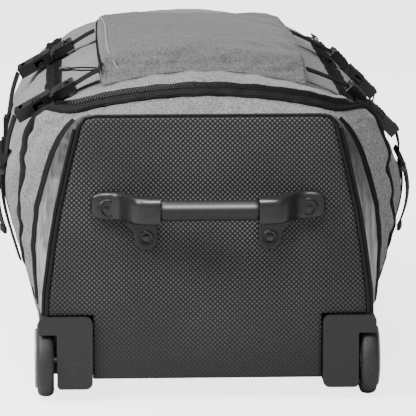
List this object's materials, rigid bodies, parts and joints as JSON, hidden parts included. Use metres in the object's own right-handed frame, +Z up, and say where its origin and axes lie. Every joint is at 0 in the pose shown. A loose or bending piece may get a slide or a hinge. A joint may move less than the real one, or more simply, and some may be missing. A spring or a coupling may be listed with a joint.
{
  "type": "bowling ball bag",
  "caption": "Wheeled soft roller bag for three bowling balls, lying on its back, with a zipped and buckled lid, shoe pocket, grab handle and trolley handle.",
  "frame": {"origin": "middle of the bag's footprint, on the floor it lies on", "axes": "+X to the right seen from the wheel end, +Y from the wheels to the far end, +Z up"},
  "size_m": [0.4239, 0.8288, 0.364],
  "materials": {
    "heather_fabric": "matt heather weave",
    "panel_laminate": "satin with a small diamond emboss",
    "housing_plastic": "satin grained",
    "tyre_rubber": "matt",
    "wheel_core_plastic": "satin silver grey",
    "steel": "bright",
    "aluminium": "satin anodised",
    "grey_button": "satin",
    "grip_rubber": "matt",
    "foot_rubber": "matt",
    "foam": "matt",
    "board": "matt",
    "webbing": "woven matt",
    "cord": "braided",
    "zip_tape": "woven tape with moulded coil",
    "black_nylon": "satin"
  },
  "bodies": {
    "bag": {"axle_left": "steel", "axle_right": "steel", "back_board": "board", "ball_cradle": "foam", "body_shell": "heather_fabric", "buckle_socket_far_left": "black_nylon", "buckle_socket_far_right": "black_nylon", "buckle_socket_near_left": "black_nylon", "buckle_socket_near_right": "black_nylon", "end_panel": "panel_laminate", "foot_left": "foot_rubber", "foot_right": "foot_rubber", "handle_bracket_left": "black_nylon", "handle_bracket_right": "black_nylon", "handle_grip": "grip_rubber", "handle_rod": "steel", "handle_screw_lower_left": "steel", "handle_screw_lower_right": "steel", "handle_screw_upper_left": "steel", "handle_screw_upper_right": "steel", "side_strap_far_left": "webbing", "side_strap_far_right": "webbing", "side_strap_near_left": "webbing", "side_strap_near_right": "webbing", "skid_rail_left": "black_nylon", "skid_rail_right": "black_nylon", "trolley_bezel": "black_nylon", "trolley_outer_tube_left": "aluminium", "trolley_outer_tube_right": "aluminium", "wheel_housing_left": "housing_plastic", "wheel_housing_right": "housing_plastic", "zipper_track_body": "zip_tape"},
    "lid": {"lid_panel": "heather_fabric", "lid_strap_far_left": "webbing", "lid_strap_far_right": "webbing", "lid_strap_near_left": "webbing", "lid_strap_near_right": "webbing", "shoe_pocket": "heather_fabric", "zipper_track_lid": "zip_tape"},
    "wheel_left": {"tyre_left": "tyre_rubber", "wheel_bearing_left": "steel", "wheel_core_left": "wheel_core_plastic"},
    "wheel_right": {"tyre_right": "tyre_rubber", "wheel_bearing_right": "steel", "wheel_core_right": "wheel_core_plastic"},
    "trolley": {"trolley_grip": "black_nylon", "trolley_inner_tube_left": "aluminium", "trolley_inner_tube_right": "aluminium"},
    "trolley_button": {"trolley_button": "grey_button"},
    "plug_near_left": {"buckle_plug_near_left": "black_nylon"},
    "plug_far_left": {"buckle_plug_far_left": "black_nylon"},
    "plug_near_right": {"buckle_plug_near_right": "black_nylon"},
    "plug_far_right": {"buckle_plug_far_right": "black_nylon"},
    "slider_front": {"zipper_slider_front": "black_nylon"},
    "puller_front": {"zipper_puller_front": "black_nylon"},
    "slider_rear": {"zipper_slider_rear": "black_nylon"},
    "puller_rear": {"zipper_puller_rear": "black_nylon"},
    "pocket_slider": {"pocket_slider": "black_nylon"},
    "pocket_puller": {"pocket_puller": "cord"},
    "carry_handle": {"carry_handle": "webbing"}
  },
  "joints": [
    {"name": "lid_hinge", "type": "hinge", "parent": "bag", "child": "lid", "pos_m": [0, 0.33495, 0.307], "axis": [-1, 0, 0], "range_deg": [0, 105]},
    {"name": "wheel_spin_left", "type": "hinge", "parent": "bag", "child": "wheel_left", "pos_m": [-0.1635, -0.33705, 0.039], "axis": [1, 0, 0], "continuous": true},
    {"name": "wheel_spin_right", "type": "hinge", "parent": "bag", "child": "wheel_right", "pos_m": [0.1635, -0.33705, 0.039], "axis": [1, 0, 0], "continuous": true},
    {"name": "trolley_slide", "type": "slide", "parent": "bag", "child": "trolley", "axis": [0, 1, 0], "range_m": [0, 0.4]},
    {"name": "trolley_button_press", "type": "slide", "parent": "trolley", "child": "trolley_button", "axis": [0, -1, 0], "range_m": [0, 0.003], "stiffness_N_per_m": 800},
    {"name": "release_near_left", "type": "slide", "parent": "lid", "child": "plug_near_left", "axis": [0.8746, 0, 0.4848], "range_m": [0, 0.022], "deforming": ["lid_strap_near_left"]},
    {"name": "release_far_left", "type": "slide", "parent": "lid", "child": "plug_far_left", "axis": [0.8746, 0, 0.4848], "range_m": [0, 0.022], "deforming": ["lid_strap_far_left"]},
    {"name": "release_near_right", "type": "slide", "parent": "lid", "child": "plug_near_right", "axis": [-0.7071, 0, 0.7071], "range_m": [0, 0.022], "deforming": ["lid_strap_near_right"]},
    {"name": "release_far_right", "type": "slide", "parent": "lid", "child": "plug_far_right", "axis": [-0.6947, 0, 0.7193], "range_m": [0, 0.022], "deforming": ["lid_strap_far_right"]},
    {"name": "slider_front_run", "type": "slide", "parent": "bag", "child": "slider_front", "axis": [0, -1, 0], "range_m": [0, 0.06]},
    {"name": "puller_front_swing", "type": "hinge", "parent": "slider_front", "child": "puller_front", "pos_m": [0.15191, 0.21995, 0.29005], "axis": [-0.848, 0, 0.5299], "range_deg": [0, 120]},
    {"name": "slider_rear_run", "type": "slide", "parent": "bag", "child": "slider_rear", "axis": [0, 1, 0], "range_m": [0, 0.04]},
    {"name": "puller_rear_swing", "type": "hinge", "parent": "slider_rear", "child": "puller_rear", "pos_m": [0.15191, 0.24095, 0.29005], "axis": [0.848, 0, -0.5299], "range_deg": [0, 120]},
    {"name": "pocket_slider_run", "type": "slide", "parent": "lid", "child": "pocket_slider", "axis": [0, 1, 0], "range_m": [0, 0.02]},
    {"name": "pocket_puller_swing", "type": "hinge", "parent": "pocket_slider", "child": "pocket_puller", "pos_m": [-0.109, -0.27705, 0.326], "axis": [0, 0, 1], "range_deg": [-80, 80]},
    {"name": "carry_handle_lift", "type": "hinge", "parent": "bag", "child": "carry_handle", "pos_m": [-0.207, -0.06865, 0.232], "axis": [0, 1, 0], "range_deg": [0, 90]}
  ]
}
